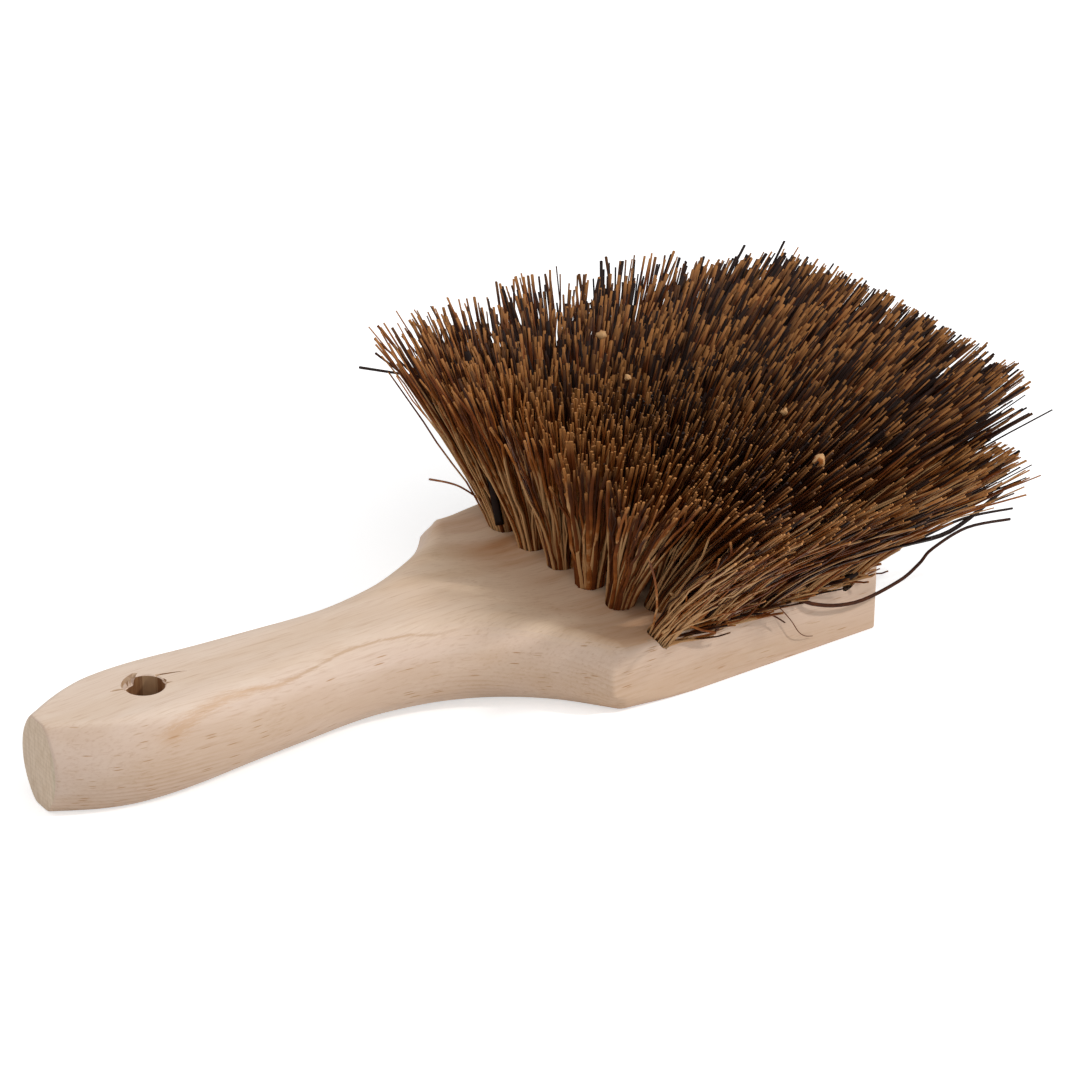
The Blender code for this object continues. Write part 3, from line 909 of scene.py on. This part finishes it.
def layFibres(tree, given, flow):  # a line for each point, laid along a bent way with a slow wave in it
    line = firstOf(tree, "GeometryNodeCurvePrimitiveLine", {})
    line = onward(tree, line, "ResampleCurve", {"Count": given["Joints"]})
    flow = onward(tree, flow, "InstanceOnPoints", {"Instance": line})
    flow = onward(tree, flow, "RealizeInstances", {})
    t = addNode(tree, "GeometryNodeSplineParameter").outputs["Factor"]
    left = oneMinus(tree, t)
    shares = {"root": times(tree, left, left), "knee": times(tree, t, left, 2.0), "tip": times(tree, t, t)}
    pulls = [scaled(tree, read(tree, name, "FLOAT_VECTOR"), share) for name, share in shares.items()]
    way = vectors(tree, "ADD", vectors(tree, "ADD", pulls[0], pulls[1]), pulls[2])
    swing = wander(tree, combine(tree, read(tree, "phase"), times(tree, t, fibre["waves"])), 1.0)
    swing = vectors(tree, "MULTIPLY", swing, (1.0, 1.0, fibre["upWave"]))
    swing = scaled(tree, swing, times(tree, given["Wave"], t, read(tree, "lively")))
    way = vectors(tree, "MINIMUM", vectors(tree, "ADD", way, swing), given["High Corner"])
    way = vectors(tree, "MAXIMUM", way, given["Low Corner"])
    flow = onward(tree, flow, "SetPosition", {"Position": way})
    return keep(tree, flow, "along", t), t


def skinFibres(tree, given, flow, t):  # flattened tubes that taper towards the tip
    circle = firstOf(tree, "GeometryNodeCurvePrimitiveCircle", {"Resolution": given["Sides"], "Radius": 1.0})
    profile = onward(tree, circle, "Transform", {"Scale": combine(tree, 1.0, given["Flatness"], 1.0)})
    thick = times(tree, read(tree, "thick"), oneMinus(tree, times(tree, t, fibre["taper"])))
    flow = onward(tree, flow, "CurveToMesh", {"Profile Curve": profile, "Scale": thick, "Fill Caps": True})
    for name in ("root", "knee", "tip", "thick", "lively", "phase"):
        flow = onward(tree, flow, "RemoveAttribute", {"Name": name})
    return flow


def growTree():
    tree = bpy.data.node_groups.new("growTuft", "GeometryNodeTree")
    tree.interface.new_socket("Geometry", in_out="OUTPUT", socket_type="NodeSocketGeometry")
    keys = {}
    for kind, names in tuftInputs.items():
        for name in names:
            socket = tree.interface.new_socket(name, in_out="INPUT", socket_type="NodeSocket" + kind)
            keys[name] = socket.identifier
    given = addNode(tree, "NodeGroupInput").outputs
    flow, t = layFibres(tree, given, plantFibres(tree, given))
    flow = skinFibres(tree, given, flow, t)
    flow = onward(tree, flow, "RealizeInstances", {})
    flow = onward(tree, flow, "SetMaterial", {"Material": given["Finish"]})
    tree.links.new(flow, addNode(tree, "NodeGroupOutput").inputs[0])
    return tree, keys


def growPiece(name, tree, keys, values):
    grower = makeObject("grower", bpy.data.meshes.new("grower"))
    grow = grower.modifiers.new("grow", "NODES")
    grow.node_group = tree
    for label, value in values.items():
        grow[keys[label]] = value
    mesh = plainMesh(grower, name)
    bpy.data.objects.remove(grower, do_unlink=True)
    smoothTo(mesh, fibre["sharpFrom"])
    return makeObject(name, mesh)


# Fibres that slipped down over the near edge and lie along it
fringe = {
    "count": 40,
    "lastCount": 0.6,  # the share that is left at the last row
    "forward": 0.027,
    "lastForward": 0.008,  # the same at the last row, which ends close to the block's end
    "out": 0.0042,
    "up": 0.0030,
    "bend": 0.10,
    "stray": 0.0022,
    "wave": 0.0034,
    "reach": (0.013, 0.001, 0.004),
    "lastReach": 0.45,
    "spread": (0.004, 0.002, 0.0045),
    "seed": 5000,
}


def fringeValues(x, y):
    share = rowShare(x)
    forward = mix(fringe["forward"], fringe["lastForward"], share * share)
    middle = Vector((x + forward, y - fringe["out"], wood["faceTop"] + fringe["up"]))
    return {
        "Fibres": round(fringe["count"] * mix(1.0, fringe["lastCount"], share)),
        "Seed": fringe["seed"] + round(x * 1e4),
        "Bend": fringe["bend"],
        "Clump": 0.0,
        "Stray": fringe["stray"],
        "Wave": fringe["wave"],
        "Tip Middle": (middle + brushStart)[:],
        "Tip Along": (Vector(fringe["reach"]) * mix(1.0, fringe["lastReach"], share))[:],
        "Tip Across": fringe["spread"],
    }


def toneShift(name, x, y):
    if atNearEdge(y):
        return mix(*fibre["edgeTone"], rowShare(x))
    return fibre["frontTones"].get(name[0], fibre["otherTone"])


def tuftValues(name, x, y, seed, finish):
    along, across, up = holeFrame(x, y)
    pack = field["holeRadius"] * fibre["packShare"]
    step = 0.002
    tipAlong = (trimmedTip(x + step, y) - trimmedTip(x - step, y)) / (2 * step)
    tipAcross = (trimmedTip(x, y + step) - trimmedTip(x, y - step)) / (2 * step)
    mouth = Vector((x, y, wood["faceTop"])) - up * fibre["rootDepth"]
    most, least = fibre["edgeLoose"]
    loose = mix(most, least, rowShare(x) ** 0.6) if atNearEdge(y) else 1.0
    edge = fibre["margin"] + fibre["thick"]
    inside = Vector((edge, edge, edge))
    return {
        "Fibres": round(fibre["count"] * mix(1.0, fibre["edgeCount"], (loose - 1) / (most - 1))),
        "Seed": seed,
        **{label: fibre[label.lower()] for label in ("Joints", "Sides", "Thin", "Thick", "Flatness", "Bend")},
        "Stray": fibre["stray"] * mix(1.0, loose, 0.7),
        "Wave": fibre["wave"] * mix(1.0, loose, 0.35),
        "Short Cut": fibre["shortCut"],
        "Clump": fibre["clump"],
        "Clump Scale": fibre["clumpScale"],
        "Tone Spread": fibre["edgeToneSpread"] if atNearEdge(y) else 1.0,
        "Tone Shift": toneShift(name, x, y),
        "Trim Level": brushStart.z + wood["faceTop"] + field["trimHeight"],
        "Mouth": (mouth + brushStart)[:],
        "Hole Way": up[:],
        "Root Along": (along * pack)[:],
        "Root Across": (across * pack)[:],
        "Tip Middle": (trimmedTip(x, y) + brushStart)[:],
        "Tip Along": (tipAlong * fibre["splay"])[:],
        "Tip Across": (tipAcross * fibre["splay"] * mix(1.0, loose, 0.12))[:],
        "Low Corner": (Vector(startBox[0]) + inside)[:],
        "High Corner": (Vector(startBox[1]) - inside)[:],
        "Finish": finish,
    }


def makeTufts(finish):
    print("tufts")
    tree, keys = growTree()
    for order, (name, x, y) in enumerate(tuftPlaces()):
        values = tuftValues(name, x, y, fibre["seed"] + order * 100, finish)
        pieces = [growPiece("palmTuft_" + name, tree, keys, values)]
        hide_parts("tuft_" + name)
        if atNearEdge(y):
            values.update(fringeValues(x, y))
            pieces.append(growPiece("edgeFringe_" + name, tree, keys, values))
        for piece in pieces:
            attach(piece, "root")


# Odd fibres that lie loose among the tufts: half width, flatness and tone, then points, all in mm
looseFibres = (
    (0.60, 0.8, 0.30, (215, -46, 23), (224, -51.6, 17), (239.5, -52.3, 12.9), (255.6, -52.4, 15),
     (263.6, -52, 18.3), (268.4, -52, 21.8), (281.5, -52, 25), (298.3, -52, 22.9)),
    (0.85, 0.6, 0.04, (222, -46, 22), (237.2, -50.5, 20.7), (254.7, -50.5, 25.3), (276.1, -50.5, 24.6),
     (295.7, -50.5, 32.4)),
    (0.70, 0.7, 0.16, (222, -46, 24), (240, -50, 22.5), (257, -50, 27), (275, -49, 29.5), (291, -48.6, 36)),
    (0.50, 0.8, 0.10, (232, -47, 22), (260.1, -50, 24.9), (281.4, -50, 27.1), (300.8, -50, 24.9)),
    (0.40, 0.8, 0.60, (212, -46, 23), (236, -49.6, 25), (262, -49, 31), (290, -48.4, 37.6)),
    (0.44, 0.8, 0.10, (162.2, 92, 53), (165, 78, 56), (170, 63, 58.5), (176, 56, 59)),
    (0.34, 0.8, 0.72, (167.3, 62, 26.2), (166.4, 50, 30.2), (167, 43, 31), (169.5, 35, 28.5), (172, 32, 24)),
    (0.36, 0.8, 0.42, (167.2, 91.2, 61.5), (170, 82, 57), (175, 70, 48), (179, 56, 36)),
    (0.36, 0.8, 0.30, (166.4, 89.6, 57.6), (170, 79, 53), (176, 66, 44), (180, 52, 34)),
    (0.40, 0.8, 0.62, (168.8, 91.8, 65.2), (171, 81, 58), (175, 68, 48), (179, 54, 36)),
    (0.46, 0.7, 1.05, (174, -47, 20.5), (170.8, -52, 24.6), (174.9, -53.2, 26.2), (178.5, -53.6, 24.8),
     (182.8, -54, 22.2), (187.3, -54.4, 20.2)),
    (0.42, 0.7, 0.98, (173.3, -51.4, 35.9), (176.3, -52.2, 31.5), (177.5, -53.6, 25.6)),
    (0.90, 0.7, 0.90, (176, -49, 22), (179.5, -53.4, 25.3), (184.3, -55.4, 29.6), (187, -58, 33)),
    (0.30, 0.8, 0.55, (203, -49, 20.5), (209, -52, 18.1), (213.8, -52.4, 14.3)),
    (0.16, 1.0, 0.62, (212, -49, 20), (213.7, -51.4, 17.6), (216.8, -51.8, 13.4), (219.5, -51.7, 9.2),
     (222.5, -51, 6.6), (225.9, -50.3, 5.2)),
    (0.30, 0.8, 0.70, (190, -48, 21), (193.5, -51.4, 20), (199.5, -53.6, 21.5), (204, -53.8, 26)),
    (1.30, 0.3, 0.00, (170.8, 29.6, 23.5), (171.2, 34.5, 35), (172.4, 42.2, 48), (174, 48, 60),
     (174.9, 52.9, 70)),
    (0.95, 0.4, 0.02, (236, -42, 24), (251, -49, 36), (265, -56, 44)),
    (0.80, 0.4, 0.04, (226, -44, 24), (243, -51, 35), (262, -57, 43)),
)
# Bits of husk caught among the tips: place in mm, size in mm
huskBits = (
    (213.4, 38.6, 70.6, 3.4),
    (215.0, -63.6, 70.4, 4.2),
    (197.2, -43.6, 61.0, 2.8),
    (232.0, -26.0, 66.0, 2.6),
    (204.0, 12.0, 69.5, 2.4),
)


strand = {
    "sides": 6,
    "parts": 6,
    "taper": 0.3,
    "along": (0.3, 0.9),
    "sideFrom": (0.4, 0.5, -0.3),
    "huskRough": (0.62, 1.15),
    "huskTone": (0.75, 1.15),
}


def smoothWay(points, parts):
    way = []
    for i in range(len(points) - 1):
        a, b, c, d = (points[min(max(k, 0), len(points) - 1)] for k in (i - 1, i, i + 1, i + 2))
        for step in range(parts):
            t = step / parts
            square = (a * 2 - b * 5 + c * 4 - d) * t ** 2
            cube = (b * 3 - a - c * 3 + d) * t ** 3
            way.append((b * 2 + (c - a) * t + square + cube) / 2)
    return way + [points[-1]]


def addStrand(shape, tones, alongs, half, flatness, tone, points):
    way = smoothWay([Vector(point) / 1000 for point in points], strand["parts"])
    rings = []
    for i, spot in enumerate(way):
        heading = (way[min(i + 1, len(way) - 1)] - way[max(i - 1, 0)]).normalized()
        side = heading.cross(Vector(strand["sideFrom"])).normalized()
        other = heading.cross(side) * flatness
        share = i / (len(way) - 1)
        radius = half / 1000 * (1 - strand["taper"] * share)
        ring = []
        for k in range(strand["sides"]):
            turn = math.tau * k / strand["sides"]
            vert = shape.verts.new(spot + (side * math.cos(turn) + other * math.sin(turn)) * radius)
            vert[tones] = tone
            vert[alongs] = mix(*strand["along"], share)
            ring.append(vert)
        rings.append(ring)
    joinRings(shape, rings)
    closeEnds(shape, rings)


def addHusk(shape, tones, alongs, middle, size, draw):
    place = Matrix.Translation(middle)
    made = bmesh.ops.create_icosphere(shape, subdivisions=2, radius=size / 2, matrix=place)
    for vert in made["verts"]:
        vert.co = middle + (vert.co - middle) * draw.uniform(*strand["huskRough"])
        vert[tones] = draw.uniform(*strand["huskTone"])
        vert[alongs] = 0.5


def makeLooseFibres(finish):
    print("loose fibres")
    shape = bmesh.new()
    tones, alongs = (shape.verts.layers.float.new(name) for name in ("tone", "along"))
    for half, flatness, tone, *points in looseFibres:
        addStrand(shape, tones, alongs, half, flatness, tone, points)
    draw = random.Random(fibre["seed"])
    for x, y, z, size in huskBits:
        addHusk(shape, tones, alongs, Vector((x, y, z)) / 1000, size / 1000, draw)
    mesh = makeMesh(shape, "looseFibres")
    mesh.transform(Matrix.Translation(brushStart))
    mesh.materials.append(finish)
    mesh.shade_smooth()
    piece = makeObject("looseFibres", mesh)
    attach(piece, "root")


# Studio: pale floor, one small lamp from the near side of the tip, soft light from all round
studio = {
    "floorHalf": 4.0,
    "floor": 0.80,
    "floorLift": 0.55,
    "floorDrop": 0.00005,  # how far the floor stays clear of the brush's back
    "air": 0.61,
    "lamps": {  # place, size and power of each
        "keyLamp": ((0.562, -0.675, 0.726), 0.085, 5.6),
        "fillLamp": ((-0.20, -0.20, 1.40), 1.0, 1.8),
    },
    "lampAim": (0.04, 0.0, 0.03),
}


def seenStraight(tree):  # 1 for what the lens, a mirror or glass sees, 0 for light on its way
    rays = addNode(tree, "ShaderNodeLightPath").outputs
    seen = maths(tree, "MAXIMUM", rays["Is Camera Ray"], rays["Is Glossy Ray"])
    return maths(tree, "MAXIMUM", seen, rays["Is Transmission Ray"])


def makeFloor():
    shape = bmesh.new()
    bmesh.ops.create_grid(shape, x_segments=1, y_segments=1, size=studio["floorHalf"])
    floor = makeObject("floor", makeMesh(shape, "floor"))
    made, tree, shader = newMaterial("paleFloor", 0.9)
    level = studio["floor"]
    lift = times(tree, seenStraight(tree), studio["floorLift"])
    feed(tree, shader, {"Base Color": (level, level, level, 1.0), "Specular IOR Level": 0.0})
    feed(tree, shader, {"Emission Color": (1.0, 1.0, 1.0, 1.0), "Emission Strength": lift})
    floor.data.materials.append(made)
    floor.location.z = -studio["floorDrop"]


def makeAir():
    world = bpy.data.worlds.new("studioAir")
    bpy.context.scene.world = world
    world.use_nodes = True
    tree = world.node_tree
    seen = times(tree, seenStraight(tree), 1.0 - studio["air"])
    strength = maths(tree, "ADD", studio["air"], seen)
    feed(tree, tree.nodes["Background"], {"Color": (1.0, 1.0, 1.0, 1.0), "Strength": strength})


def makeLamp(name, start, size, watts):
    data = bpy.data.lights.new(name, "AREA")
    data.shape = "DISK"
    data.size = size
    data.energy = watts
    lamp = makeObject(name, data)
    lamp.location = start
    lamp.rotation_euler = (Vector(studio["lampAim"]) - lamp.location).to_track_quat("-Z", "Y").to_euler()


# Camera: a long lens from the near side of the handle's end
camera = {
    "place": (-0.42638, -0.84490, 0.57048),
    "tilt": 62.47,
    "turn": -34.97,
    "roll": 0.21,
    "lens": 134.6,
    "film": 36.0,
}


def makeCamera():
    data = bpy.data.cameras.new("camera")
    data.lens = camera["lens"]
    data.sensor_width = camera["film"]
    made = makeObject("camera", data)
    aim = Euler((math.radians(camera["tilt"]), 0.0, math.radians(camera["turn"]))).to_matrix()
    aim = aim @ Matrix.Rotation(math.radians(camera["roll"]), 3, "Z")
    made.matrix_world = Matrix.Translation(brushStart + Vector(camera["place"])) @ aim.to_4x4()
    bpy.context.scene.camera = made


makeCamera()
makeAir()
makeFloor()
for lampName, lampFacts in studio["lamps"].items():
    makeLamp(lampName, *lampFacts)
makeWood()
palmFibre = makePalm()
makeTufts(palmFibre)
makeLooseFibres(palmFibre)
bpy.context.scene.view_settings.view_transform = "Standard"

print("dressed")
